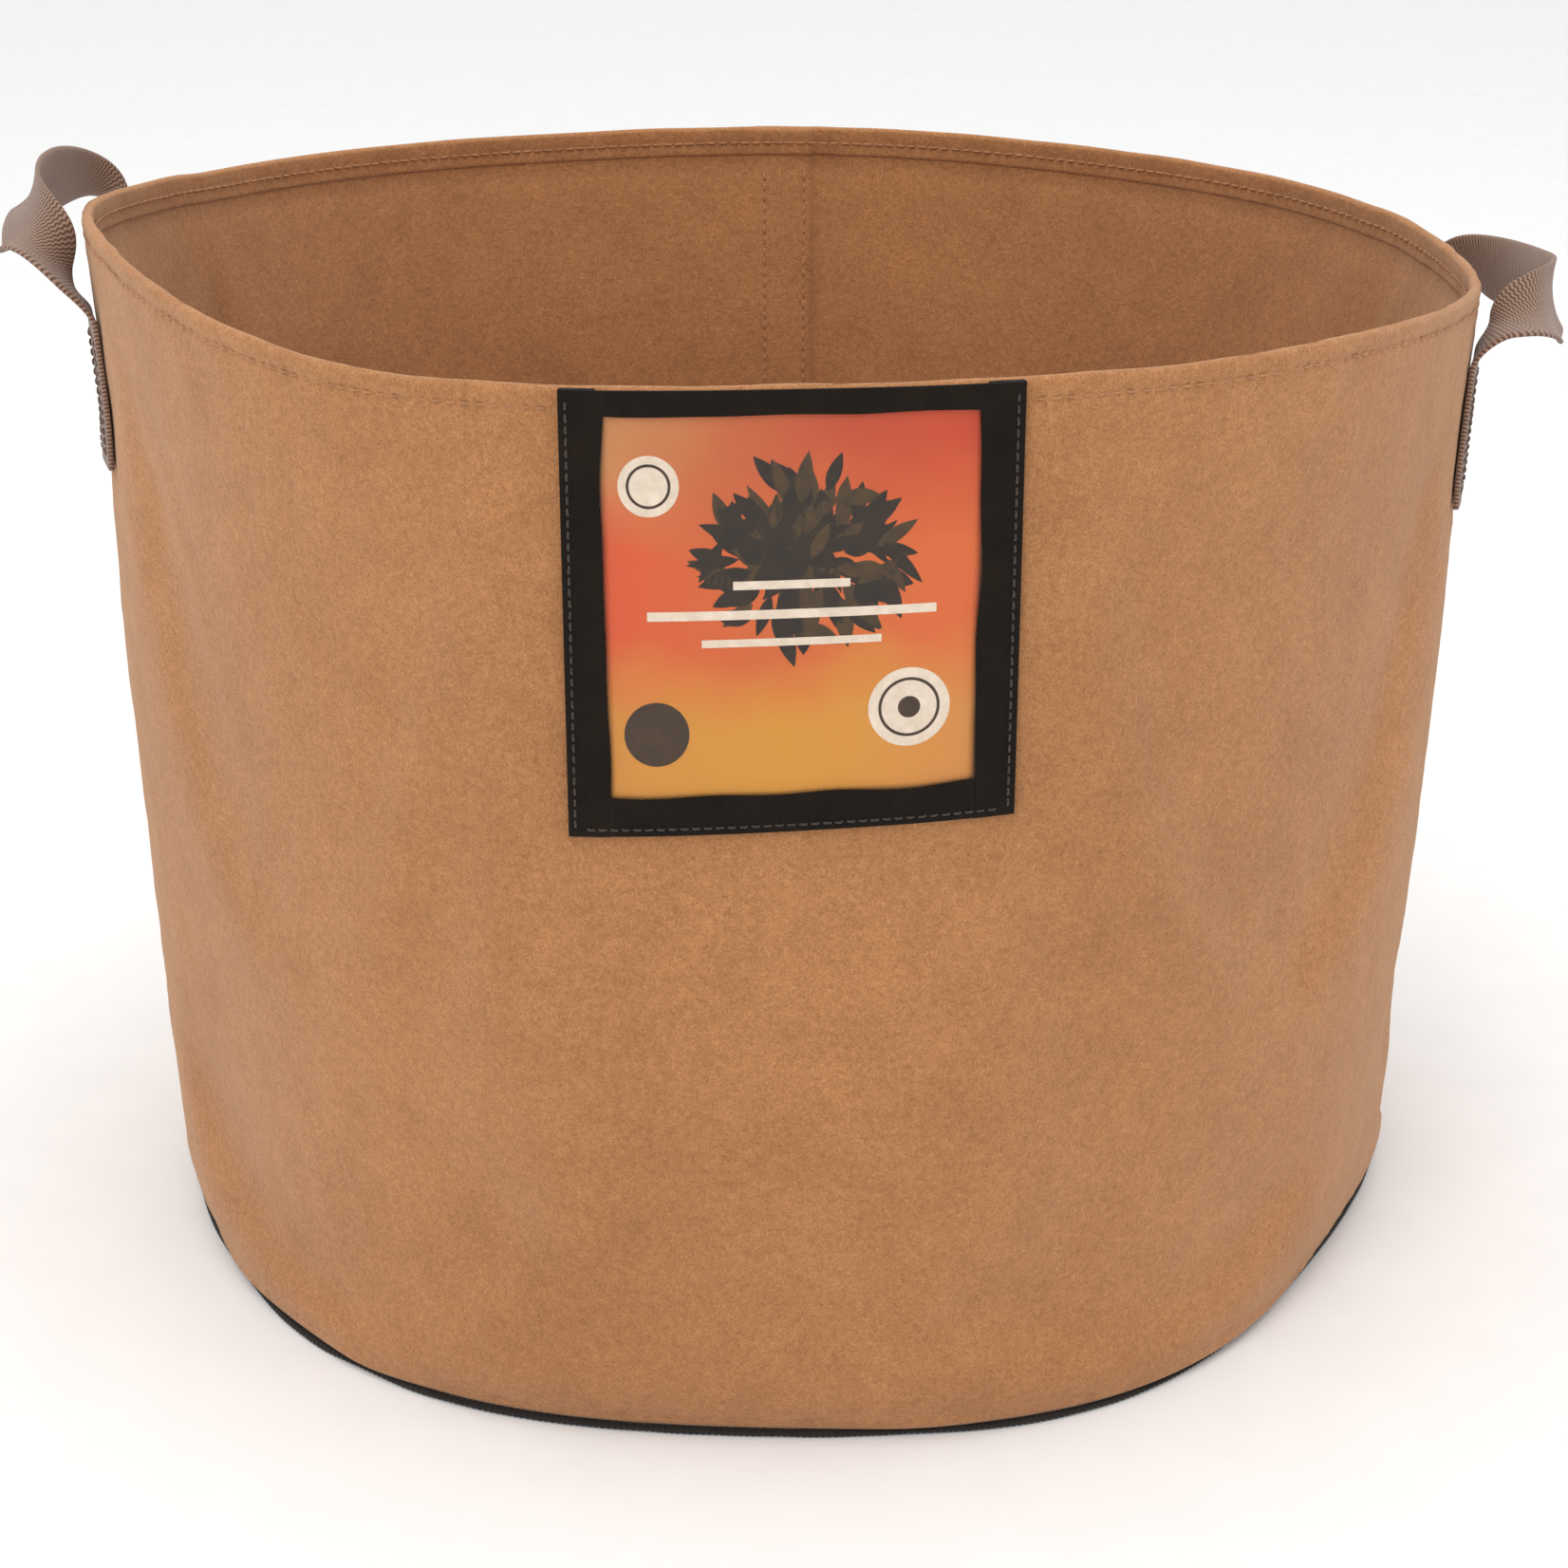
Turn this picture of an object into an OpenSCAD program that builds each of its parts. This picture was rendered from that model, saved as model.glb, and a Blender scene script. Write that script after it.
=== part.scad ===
// Round felt grow bag with two webbing handles and a clear card pocket.
// +Z is up, the origin is the centre of the base's underside, and the pocket faces -Y.
// Azimuths are in degrees about +Z: 0 is the front, 90 is the +X side and 180 is the back.

/* [Bag] */
// Outer diameter at the rim
rim_d = 457; // [400:1:560]
// Outer diameter at the floor
base_d = 412; // [360:1:400]
// Height from the floor to the top of the rim
bag_h = 340; // [300:1:420]
// Thickness of one layer of felt
felt_t = 3; // [2:0.5:4]
// Depth of the hem folded inwards at the rim
hem_h = 11; // [8:1:20]
// Overlap of the wall's two ends at the back seam
lap_w = 24; // [16:1:36]
// Height of the oversewn edge that joins the wall to the base
edge_h = 3.2; // [2:0.2:5]
// How far the oversewn edge stands out from the foot of the wall
edge_out = 1; // [0.4:0.2:2]

/* [Handles] */
// Width of the webbing
strap_w = 25.4; // [20:0.2:38]
// Thickness of the webbing
strap_t = 1.8; // [1.2:0.1:2.4]
// Length of each sewn-down end
tab_l = 46; // [30:1:80]
// Angle from the middle of a handle to each of its tabs
tab_spread = 14.5; // [12:0.5:22]
// Drop from the rim to the line that the loops swing about
hinge_drop = 18; // [18:1:40]
// Height of the left loop's top above that line
left_rise = 37; // [36:1:50]
// How far the left loop's top stands out from the wall
left_reach = 18; // [18:1:26]
// Tilt of the webbing across the left loop's top
left_tilt = 54; // [40:1:56]
// Height of the right loop's top above that line
right_rise = 3; // [3:1:12]
// How far the right loop's top stands out from the wall
right_reach = 26; // [26:1:30]
// Tilt of the webbing across the right loop's top
right_tilt = 76; // [60:1:78]

/* [Pocket] */
// Width of the pocket over its binding tape
pocket_w = 127; // [100:1:150]
// Height of the pocket over its binding tape
pocket_h = 127; // [100:1:150]
// Visible width of the side tapes
side_tape_w = 12; // [8:0.5:16]
// Visible width of the bottom tape
bottom_tape_w = 11.5; // [8:0.5:16]
// Visible width of the tape along the mouth
mouth_tape_w = 7; // [5:0.5:12]
// Thickness of the tape over the window
tape_t = 0.8; // [0.6:0.1:1.2]
// Thickness of the clear window
window_t = 0.3; // [0.2:0.1:0.5]
// Space for the card between the wall and the window
card_space = 1.5; // [1.4:0.1:2.5]
// Thickness of the printed card
card_t = 0.4; // [0.3:0.1:0.6]

/* [Thread] */
// Diameter of the sewing thread
thread_d = 0.9; // [0.6:0.1:1.2]

/* [Hidden] */

$fn = 180;
sew_gap = 0.1;             // play between two sewn layers
thread_gap = 0.3;          // play between a line of thread and the cloth under it
seam_inset = 4;            // distance from a cloth edge to its line of thread
round_steps = 8;           // facets of the rounded top of the rim
front = 0;                 // azimuth of the pocket
right = 90;                // azimuth of the right handle
back = 180;                // azimuth of the lapped seam

// Loops
loop_steps = 36;           // sections along a loop
flex_below = 5;            // bare webbing between a tab and the line its loop swings about
flex_above = 5;            // bare webbing between that line and the loop's first section
foot_gap = 2.6;            // play between the wall and the foot of a loop
hinge_z = bag_h - hinge_drop;
tab_top = hinge_z - flex_below;
loop_z = hinge_z + flex_above;

// Pocket
pocket_a = degrees_of(pocket_w / 2);
window_a = degrees_of(pocket_w / 2 - side_tape_w);
window_edge_a = degrees_of(pocket_w / 2 - seam_inset);
pocket_z = bag_h - pocket_h;
card_tuck = 1.5;           // how far the card reaches in behind the tape on each side
card_play = 1;             // play between the card's edges and the tape behind the window
card_a = window_a + degrees_of(card_tuck);
card_z = pocket_z + bottom_tape_w - card_tuck;
card_top = bag_h - mouth_tape_w / 2;
card_in = (card_space - card_t) / 2;
window_out = card_space + window_t;
pocket_out = window_out + tape_t;

// Outer radius of the wall at a height
function wall_r(z) = (base_d + (rim_d - base_d) * z / bag_h) / 2;

// Azimuth taken up by a width laid along the rim
function degrees_of(w) = w / (PI * rim_d) * 360;

// Point at an azimuth, a height and a distance out from the wall
function on_wall(a, z, out) = [(wall_r(z) + out) * sin(a), -(wall_r(z) + out) * cos(a), z];

// Layer that follows the wall, between two azimuths, two heights and two distances from it
module wall_layer(a0, a1, z0, z1, in, out) {
    rotate([0, 0, a0 - 90])
        rotate_extrude(angle = a1 - a0)
            polygon([[wall_r(z0) + in, z0], [wall_r(z0) + out, z0],
                     [wall_r(z1) + out, z1], [wall_r(z1) + in, z1]]);
}

// Line of thread around the wall, between two azimuths
module thread_arc(a0, a1, z, out) {
    rotate([0, 0, a0 - 90])
        rotate_extrude(angle = a1 - a0)
            translate([wall_r(z) + out, z])
                circle(d = thread_d, $fn = 16);
}

// Line of thread on the outside of the wall that passes round the back and steps over the lapped seam.
// It stops short of the front by the same azimuth on each side.
module outer_thread(front_a, z) {
    lap_a = degrees_of(lap_w / 2);
    step_a = degrees_of(thread_d);
    out = thread_gap + thread_d / 2;
    thread_arc(front + front_a, back - lap_a - step_a, z, out);
    thread_arc(back - lap_a + step_a, back + lap_a - step_a, z, felt_t + out);
    thread_arc(back + lap_a + step_a, front + 360 - front_a, z, out);
}

// Straight line of thread between two points, cut back by the same length at each end
module thread_line(p, q, cut) {
    way = q - p;
    translate(p)
        rotate([0, acos(way.z / norm(way)), atan2(way.y, way.x)])
            translate([0, 0, cut])
                cylinder(d = thread_d, h = norm(way) - 2 * cut, $fn = 16);
}

// Bag

module wall_panel() {
    hem_z = bag_h - felt_t;
    hem_mid = wall_r(hem_z) - felt_t;
    fold = [for (i = [0:round_steps])
               [hem_mid + felt_t * cos(180 * i / round_steps), hem_z + felt_t * sin(180 * i / round_steps)]];
    color("burlywood") {
        rotate_extrude()
            polygon(concat([[wall_r(edge_h), edge_h]], fold,
                           [[wall_r(bag_h - hem_h) - 2 * felt_t, bag_h - hem_h],
                            [wall_r(bag_h - hem_h) - felt_t, bag_h - hem_h],
                            [wall_r(edge_h) - felt_t, edge_h]]));
        wall_layer(back - degrees_of(lap_w / 2), back + degrees_of(lap_w / 2),
                   edge_h + sew_gap, bag_h - 2 * felt_t, -felt_t / 2, felt_t);
    }
}

module base_panel() {
    color("burlywood")
        cylinder(r = wall_r(0) - felt_t, h = felt_t);
}

module base_edge_binding() {
    lift = 0.2;
    color("black")
        translate([0, 0, lift])
            difference() {
                cylinder(r = wall_r(0) + edge_out, h = edge_h - 2 * lift);
                translate([0, 0, -1])
                    cylinder(r = wall_r(0) - felt_t + sew_gap, h = edge_h + 2);
            }
}

module rim_hem_stitching() {
    z = bag_h - hem_h + seam_inset;
    color("peru") {
        outer_thread(pocket_a + degrees_of(2 * thread_d), z);
        thread_arc(0, 360, z, -2 * felt_t - thread_gap - thread_d / 2);
    }
}

module side_seam_stitching() {
    color("peru")
        for (side = [-1, 1], out = [felt_t + thread_gap, -felt_t - thread_gap - thread_d]) {
            a = back + side * degrees_of(lap_w / 2 - seam_inset);
            wall_layer(a - degrees_of(thread_d / 2), a + degrees_of(thread_d / 2),
                       edge_h + 2 * seam_inset, bag_h - hem_h - seam_inset, out, out + thread_d);
        }
}

module base_seam_stitching() {
    color("peru")
        outer_thread(degrees_of(thread_d), edge_h + seam_inset);
}

// Handles. They are made on the +X side, and the left one is its mirror image.

module strap_tab(side) {
    a = right + side * tab_spread;
    half = degrees_of(strap_w / 2);
    color("rosybrown")
        wall_layer(a - half, a + half, tab_top - tab_l, tab_top, sew_gap, sew_gap + strap_t);
}

// Sewn box with a cross in it on each of a handle's two tabs
module tab_stitching() {
    half = degrees_of(strap_w / 2 - seam_inset);
    low = tab_top - tab_l + seam_inset;
    high = tab_top - seam_inset;
    out = sew_gap + strap_t + thread_gap + thread_d;
    color("saddlebrown")
        for (side = [-1, 1]) {
            a = right + side * tab_spread;
            corners = [for (c = [[-1, low], [1, low], [1, high], [-1, high]])
                          on_wall(a + c[0] * half, c[1], out)];
            over = on_wall(a, low, out + 1.5 * thread_d) - on_wall(a, low, out);
            for (i = [0:3]) thread_line(corners[i], corners[(i + 1) % 4], thread_d);
            thread_line(corners[0], corners[2], 3 * thread_d);
            thread_line(corners[1] + over, corners[3] + over, 3 * thread_d);
        }
}

// Middle line of a loop: it climbs from the front tab (0), over the top (90), to the rear tab (180)
function loop_point(t, rise, reach) =
    let (foot = on_wall(right - tab_spread, loop_z, foot_gap + strap_t / 2),
         top_x = wall_r(bag_h) + reach,
         top_z = hinge_z + rise)
    [foot.x + (top_x - foot.x) * sin(t), foot.y * cos(t), foot.z + (top_z - foot.z) * sin(t)];

function unit(v) = v / norm(v);

// Four corners of the webbing at one place along a loop
function loop_section(t, rise, reach, tilt) =
    let (step = 0.5,
         mid = loop_point(t, rise, reach),
         along = unit(loop_point(t + step, rise, reach) - loop_point(t - step, rise, reach)),
         lean = [sin(tab_spread) * abs(cos(t)), cos(tab_spread) * cos(t), 0]
                + sin(t) * [-cos(tilt), 0, sin(tilt)],
         across = unit(lean - (lean * along) * along) * strap_w / 2,
         out = unit(cross(across, along)) * strap_t / 2)
    [mid + across + out, mid - across + out, mid - across - out, mid + across - out];

module strap_loop(rise, reach, tilt) {
    points = [for (i = [0:loop_steps], p = loop_section(180 * i / loop_steps, rise, reach, tilt)) p];
    last = 4 * loop_steps;
    skin = [for (i = [0:loop_steps - 1], k = [0:3])
               let (a = 4 * i + k, b = 4 * i + (k + 1) % 4)
               each [[a, b, a + 4], [b, b + 4, a + 4]]];
    ends = [[2, 1, 0], [3, 2, 0], [last, last + 1, last + 2], [last, last + 2, last + 3]];
    color("rosybrown")
        polyhedron(points, concat(skin, ends));
}

module left_handle_front_tab() { mirror([1, 0, 0]) strap_tab(-1); }
module left_handle_rear_tab() { mirror([1, 0, 0]) strap_tab(1); }
module left_handle_loop() { mirror([1, 0, 0]) strap_loop(left_rise, left_reach, left_tilt); }
module left_handle_stitching() { mirror([1, 0, 0]) tab_stitching(); }
module right_handle_front_tab() { strap_tab(-1); }
module right_handle_rear_tab() { strap_tab(1); }
module right_handle_loop() { strap_loop(right_rise, right_reach, right_tilt); }
module right_handle_stitching() { tab_stitching(); }

// Pocket. The window lies on the side and bottom tapes, and its mouth is open at the rim.

module pocket_window() {
    color("lightcyan", 0.4)
        wall_layer(front - window_edge_a, front + window_edge_a, pocket_z + seam_inset, bag_h - felt_t,
                   card_space, window_out);
}

module pocket_binding_mouth() {
    color("black")
        wall_layer(front - window_a, front + window_a, bag_h - mouth_tape_w, bag_h - sew_gap,
                   window_out, pocket_out);
}

// Tape folded around one edge of the window: its inner leaf lies on the wall
module folded_tape(a0, a1, z0, z1, inner_a0, inner_a1, inner_z1) {
    color("black")
        difference() {
            union() {
                wall_layer(inner_a0, inner_a1, z0, inner_z1, sew_gap, window_out + tape_t / 2);
                wall_layer(a0, a1, z0, z1, window_out, pocket_out);
            }
            wall_layer(front - window_edge_a, front + window_edge_a, pocket_z + seam_inset, bag_h + 1,
                       card_space, window_out);
        }
}

module side_tape() {
    folded_tape(front + window_a, front + pocket_a, pocket_z, bag_h - sew_gap,
                card_a + degrees_of(card_play), front + pocket_a, bag_h - sew_gap);
}

module pocket_binding_left() { mirror([1, 0, 0]) side_tape(); }
module pocket_binding_right() { side_tape(); }

module pocket_binding_bottom() {
    folded_tape(front - window_a, front + window_a, pocket_z, pocket_z + bottom_tape_w,
                front - window_a, front + window_a, card_z - card_play);
}

module pocket_stitching() {
    out = pocket_out + thread_gap;
    low = pocket_z + seam_inset / 2;
    high = bag_h - seam_inset / 2;
    half = pocket_a - degrees_of(seam_inset / 2);
    color("dimgray") {
        for (side = [-1, 1])
            wall_layer(side * half - degrees_of(thread_d / 2), side * half + degrees_of(thread_d / 2),
                       low, high, out, out + thread_d);
        wall_layer(front - half + degrees_of(2 * thread_d), front + half - degrees_of(2 * thread_d),
                   low, low + thread_d, out, out + thread_d);
    }
}

module label_card() {
    color("darkorange")
        wall_layer(front - card_a, front + card_a, card_z, card_top, card_in, card_in + card_t);
}

wall_panel();
base_panel();
base_edge_binding();
rim_hem_stitching();
side_seam_stitching();
base_seam_stitching();
left_handle_front_tab();
left_handle_rear_tab();
left_handle_loop();
left_handle_stitching();
right_handle_front_tab();
right_handle_rear_tab();
right_handle_loop();
right_handle_stitching();
pocket_window();
pocket_binding_mouth();
pocket_binding_bottom();
pocket_binding_left();
pocket_binding_right();
pocket_stitching();
label_card();
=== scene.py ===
import math

import bpy
import numpy as np
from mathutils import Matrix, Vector


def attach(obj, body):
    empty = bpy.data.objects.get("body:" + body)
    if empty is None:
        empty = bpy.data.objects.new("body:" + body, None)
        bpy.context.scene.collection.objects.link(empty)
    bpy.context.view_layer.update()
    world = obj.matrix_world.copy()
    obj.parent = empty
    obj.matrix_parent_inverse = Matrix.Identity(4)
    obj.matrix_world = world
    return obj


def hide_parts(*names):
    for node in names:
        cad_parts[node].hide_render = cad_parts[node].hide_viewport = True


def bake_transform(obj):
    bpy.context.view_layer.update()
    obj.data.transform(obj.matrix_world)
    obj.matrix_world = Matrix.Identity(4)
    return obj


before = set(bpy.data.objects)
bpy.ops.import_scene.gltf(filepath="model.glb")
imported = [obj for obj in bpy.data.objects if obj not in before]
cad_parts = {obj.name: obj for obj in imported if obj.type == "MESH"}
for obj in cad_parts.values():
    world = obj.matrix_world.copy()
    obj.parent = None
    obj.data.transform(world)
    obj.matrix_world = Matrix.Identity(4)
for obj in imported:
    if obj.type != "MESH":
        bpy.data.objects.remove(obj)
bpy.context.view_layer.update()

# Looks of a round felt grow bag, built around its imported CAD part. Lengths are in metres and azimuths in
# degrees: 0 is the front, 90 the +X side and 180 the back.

MM = 0.001

# Bag
BAG_H = 0.340
RIM_R = 0.2285
BASE_R = 0.206
FELT_T = 0.003
HEM_H = 0.011
FOLD_T = 0.0018  # each layer of felt where the hem is sewn tight
LEAF_T = 0.0008  # the hem's free edge, pressed flat
LAP_W = 0.024
MM_PER_DEGREE = 2 * math.pi * RIM_R / 360 / MM

# How the soft wall departs from a plain cone: waves around the bag.
# Each is (number of waves, size in mm, azimuth of a peak).
RIM_RISE = [(0, 1.8, 0), (1, 7.5, -63), (2, 1.0, 85), (3, 3.8, 39), (4, 1.4, 26), (5, 0.8, -7), (6, 0.8, -6)]
FOOT_SPREAD = [(2, 11.5, -86), (3, 8.0, -5), (4, 4.0, 31), (5, 3.8, -32)]
FLAT_DEPTH = 0.0045  # how far the stiff pocket flattens the wall, over FLAT_WIDTH degrees each way
FLAT_WIDTH = 17
RISE_FULL_Z = 0.19  # above this height the wall follows the whole rise of the rim
SPREAD_TOP_Z = 0.20  # above this height the wall keeps clear of the foot's spread

# Pocket, in mm along the wall from its middle
POCKET_HALF = 63.5
POCKET_Z = 0.213
SIDE_TAPE = 12.0
BOTTOM_TAPE = 0.0115
MOUTH_TAPE = 0.007
WINDOW_IN = 1.5 * MM  # the window's back face, front face and the tape's front, out from the wall
WINDOW_OUT = 1.8 * MM
TAPE_OUT = 2.6 * MM

# Handles
STRAP_W = 0.0254
STRAP_T = 0.0018
TAB_SPREAD = 14.5  # azimuth from a handle's middle to each tab
TAB_LOW = 0.271
TAB_TOP = 0.317
LOOP_Z = 0.327  # where the free loop begins
HINGE_Z = 0.322
FOOT_OUT = 0.0052  # from the wall to the middle of the loop's foot
TAB_LIFT = 0.0007  # keeps the webbing off the lumps of the felt


# ---------------------------------------------------------------- helpers

def smooth_step(t):
    t = np.clip(t, 0, 1)
    return t * t * (3 - 2 * t)


def unit(v):
    return v / np.linalg.norm(v, axis=-1, keepdims=True)


def waves(azimuth, terms):
    """Sum of waves around the bag, in metres."""
    return sum(size * MM * np.cos(np.radians(n * (azimuth - peak))) for n, size, peak in terms)


def ripple(u, v, seed, u_range, v_range, count=14):
    """Smooth seeded noise from about -1 to 1. u is an azimuth in degrees, and v a length in metres."""
    rng = np.random.default_rng(seed)
    total = 0
    for _ in range(count):
        n = rng.integers(*u_range)
        m = rng.uniform(*v_range) * rng.choice([-1, 1])
        total = total + np.cos(np.radians(n * u) + m * v + rng.uniform(0, 2 * math.pi))
    return total / math.sqrt(count)


def grid_faces(rows, columns, wrap_rows=False, wrap_columns=False):
    """Quads of a grid whose vertices run row by row."""
    r = np.arange(rows if wrap_rows else rows - 1)
    c = np.arange(columns if wrap_columns else columns - 1)
    r, c = np.meshgrid(r, c, indexing="ij")
    r1, c1 = (r + 1) % rows, (c + 1) % columns
    quads = np.stack([r * columns + c, r * columns + c1, r1 * columns + c1, r1 * columns + c], -1)
    return quads.reshape(-1, 4).tolist()


def tube_faces(rows, sides):
    """Faces of a tube built ring by ring, with both ends closed."""
    last = (rows - 1) * sides
    ends = [list(range(sides))[::-1], [last + k for k in range(sides)]]
    return grid_faces(rows, sides, wrap_columns=True) + ends


def plate_faces(rows, columns):
    """Faces of a thin plate built from a front grid and a back grid."""
    behind = rows * columns
    front = grid_faces(rows, columns)
    back = [[i + behind for i in face[::-1]] for face in front]
    bottom = list(range(columns))
    right = [j * columns + columns - 1 for j in range(1, rows)]
    top = [(rows - 1) * columns + j for j in range(columns - 2, -1, -1)]
    left = [j * columns for j in range(rows - 2, 0, -1)]
    edge = bottom + right + top + left
    around = [[a, a + behind, b + behind, b] for a, b in zip(edge, edge[1:] + edge[:1])]
    return front + back + around


def make_mesh(name, points, faces, material, uv=None, flip=False, smooth=True):
    """Mesh object. uv has one pair for each vertex."""
    mesh = bpy.data.meshes.new(name)
    points = np.asarray(points, float).reshape(-1, 3)
    if flip:
        faces = [f[::-1] for f in faces]
    mesh.from_pydata(points.tolist(), [], faces)
    mesh.validate()
    mesh.polygons.foreach_set("use_smooth", [smooth] * len(mesh.polygons))
    if uv is not None:
        layer = mesh.uv_layers.new(name="UVMap")
        corner = np.empty(len(mesh.loops), np.int32)
        mesh.loops.foreach_get("vertex_index", corner)
        layer.data.foreach_set("uv", np.asarray(uv, np.float32).reshape(-1, 2)[corner].ravel())
    mesh.materials.append(material)
    obj = bpy.data.objects.new(name, mesh)
    bpy.context.scene.collection.objects.link(obj)
    return obj


def join_parts(parts):
    """Points and faces of several meshes as one."""
    points, faces, start = [], [], 0
    for p, f in parts:
        p = np.asarray(p).reshape(-1, 3)
        points.append(p)
        faces.extend([[i + start for i in face] for face in f])
        start += len(p)
    return np.concatenate(points), faces


def add_piece(obj, body, nodes=()):
    if nodes:
        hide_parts(*nodes)
    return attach(obj, body)


# ---------------------------------------------------------------- shape of the wall

FIRM_HALF = 17  # degrees each way that the pocket keeps even, fading out over FIRM_FADE
FIRM_FADE = 9
FIRM_LOW_Z = 0.165  # and where that begins, over FIRM_FADE_Z
FIRM_FADE_Z = 0.04
FLAT_LOW_Z = 0.10  # where the flattened part of the wall begins, over FLAT_FADE_Z
FLAT_FADE_Z = 0.10
WAVER = 1.1 * MM  # size of the wall's small random waves

settled_grid = None  # how far the cloth simulation moved the wall, once it has run
SETTLE_COLUMNS = 144
SETTLE_ROWS = 34
SETTLE_FRAMES = 30
SETTLE_LIMIT = 5 * MM  # the furthest the simulation may move the wall
HELD_FOOT_Z = 0.011  # the foot is held below this height
HELD_BESIDE_TAB = 6  # degrees of wall held beside each tab
HELD_HEM = 0.12  # how firmly the hem is held, as a share
CLOTH = {"quality": 5, "mass": 0.35, "tension_stiffness": 20, "compression_stiffness": 20,
         "shear_stiffness": 10, "bending_stiffness": 8, "shrink_min": -0.012,
         "vertex_group_mass": "held", "pin_stiffness": 5}


def spline_weights(t):
    """Weights of four neighbours in a cubic B-spline."""
    return [(1 - t) ** 3 / 6, (3 * t ** 3 - 6 * t ** 2 + 4) / 6,
            (-3 * t ** 3 + 3 * t ** 2 + 3 * t + 1) / 6, t ** 3 / 6]


def settled(azimuth, z):
    """Simulated shift of the wall at a place, read smoothly from the grid."""
    if settled_grid is None:
        return 0.0
    u = (azimuth / 360 * SETTLE_COLUMNS) % SETTLE_COLUMNS
    v = np.clip(z / BAG_H, 0, 1) * (SETTLE_ROWS - 1)
    i, j = np.floor(u).astype(int), np.clip(np.floor(v).astype(int), 0, SETTLE_ROWS - 2)
    total = 0
    for du, wu in enumerate(spline_weights(u - i)):
        for dv, wv in enumerate(spline_weights(v - j)):
            row = np.clip(j + dv - 1, 0, SETTLE_ROWS - 1)
            column = (i + du - 1) % SETTLE_COLUMNS
            total = total + (wu * wv)[..., None] * settled_grid[row, column]
    return total


def from_front(azimuth):
    """Azimuth as an angle from -180 to 180 degrees."""
    return (azimuth + 180) % 360 - 180


def stiffened(azimuth, z):
    """1 where the pocket keeps the wall even, and 0 away from it."""
    beside = 1 - smooth_step((np.abs(from_front(azimuth)) - FIRM_HALF) / FIRM_FADE)
    above = smooth_step((z - FIRM_LOW_Z) / FIRM_FADE_Z)
    return beside * above


def surface(azimuth, z):
    """Point on the wall's outer face."""
    azimuth, z = np.broadcast_arrays(np.asarray(azimuth, float), np.asarray(z, float))
    free = 1 - stiffened(azimuth, z)
    low = np.clip(1 - z / SPREAD_TOP_Z, 0, 1) ** 1.5
    r = BASE_R + (RIM_R - BASE_R) * z / BAG_H + low * waves(azimuth, FOOT_SPREAD)
    r = r + free * WAVER * ripple(azimuth, z, 3, (1, 8), (4, 22))
    flat = np.exp(-(from_front(azimuth) / FLAT_WIDTH) ** 2) * smooth_step((z - FLAT_LOW_Z) / FLAT_FADE_Z)
    r = r - FLAT_DEPTH * flat
    rise = np.sin(math.pi / 2 * np.clip(z / RISE_FULL_Z, 0, 1))
    turn = np.radians(azimuth)
    point = np.stack([r * np.sin(turn), -r * np.cos(turn), z + rise * waves(azimuth, RIM_RISE)], -1)
    return point + settled(azimuth, z)


def facing(azimuth, z):
    """Outward normal of the wall."""
    step_a, step_z = 0.1, 0.5 * MM
    around = surface(azimuth + step_a, z) - surface(azimuth - step_a, z)
    upward = surface(azimuth, z + step_z) - surface(azimuth, z - step_z)
    return unit(np.cross(around, upward))


def place(azimuth, z, out=0.0):
    """Point at a distance out from the wall's outer face."""
    azimuth, z, out = np.broadcast_arrays(*(np.asarray(x, float) for x in (azimuth, z, out)))
    return surface(azimuth, z) + out[..., None] * facing(azimuth, z)


def pin_wall(cloth, azimuth, z):
    """Holds the cloth at its foot, pocket and tabs, and a little at its hem."""
    held = cloth.vertex_groups.new(name="held")
    at_tab = np.abs(np.abs(from_front(azimuth)) - 90) < TAB_SPREAD + HELD_BESIDE_TAB
    for j in range(SETTLE_ROWS):
        for i in range(SETTLE_COLUMNS):
            firm = max(float(z[j] < HELD_FOOT_Z), float(stiffened(azimuth[i], z[j])),
                       float(at_tab[i] and z[j] > TAB_LOW), HELD_HEM * float(z[j] > BAG_H - HEM_H))
            if firm > 0:
                held.add([j * SETTLE_COLUMNS + i], firm, "REPLACE")


def run_cloth(cloth):
    """Runs the simulation, removes the cloth and returns where its points ended."""
    soft = cloth.modifiers.new("felt", "CLOTH")
    for name, value in CLOTH.items():
        setattr(soft.settings, name, value)
    soft.point_cache.frame_end = SETTLE_FRAMES
    scene = bpy.context.scene
    for step in range(1, SETTLE_FRAMES + 1):
        scene.frame_set(step)
    moved = cloth.evaluated_get(bpy.context.evaluated_depsgraph_get())
    end = np.empty(len(moved.data.vertices) * 3, np.float32)
    moved.data.vertices.foreach_get("co", end)
    bpy.data.objects.remove(cloth)
    scene.frame_set(1)
    return end.reshape(SETTLE_ROWS, SETTLE_COLUMNS, 3).astype(float)


def settle_wall():
    """How far the wall moves when it settles as cloth. Its foot, pocket and rim keep their places."""
    azimuth = np.arange(SETTLE_COLUMNS) * 360 / SETTLE_COLUMNS
    z = np.linspace(0, BAG_H, SETTLE_ROWS)
    start = surface(azimuth[None, :], z[:, None])
    faces = grid_faces(SETTLE_ROWS, SETTLE_COLUMNS, wrap_columns=True)
    cloth = make_mesh("settling_wall", start, faces, None)
    pin_wall(cloth, azimuth, z)
    shift = run_cloth(cloth) - start
    size = np.linalg.norm(shift, axis=-1, keepdims=True)
    shift = shift * np.minimum(1, SETTLE_LIMIT / np.maximum(size, 1e-9))
    above_foot = smooth_step((z - 0.004) / 0.02)
    near_rim = 1 - 0.8 * smooth_step((z - 0.26) / 0.06)
    keep = (above_foot * near_rim)[:, None] * (1 - stiffened(azimuth[None, :], z[:, None]))
    return shift * keep[..., None]


# ---------------------------------------------------------------- materials

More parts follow.
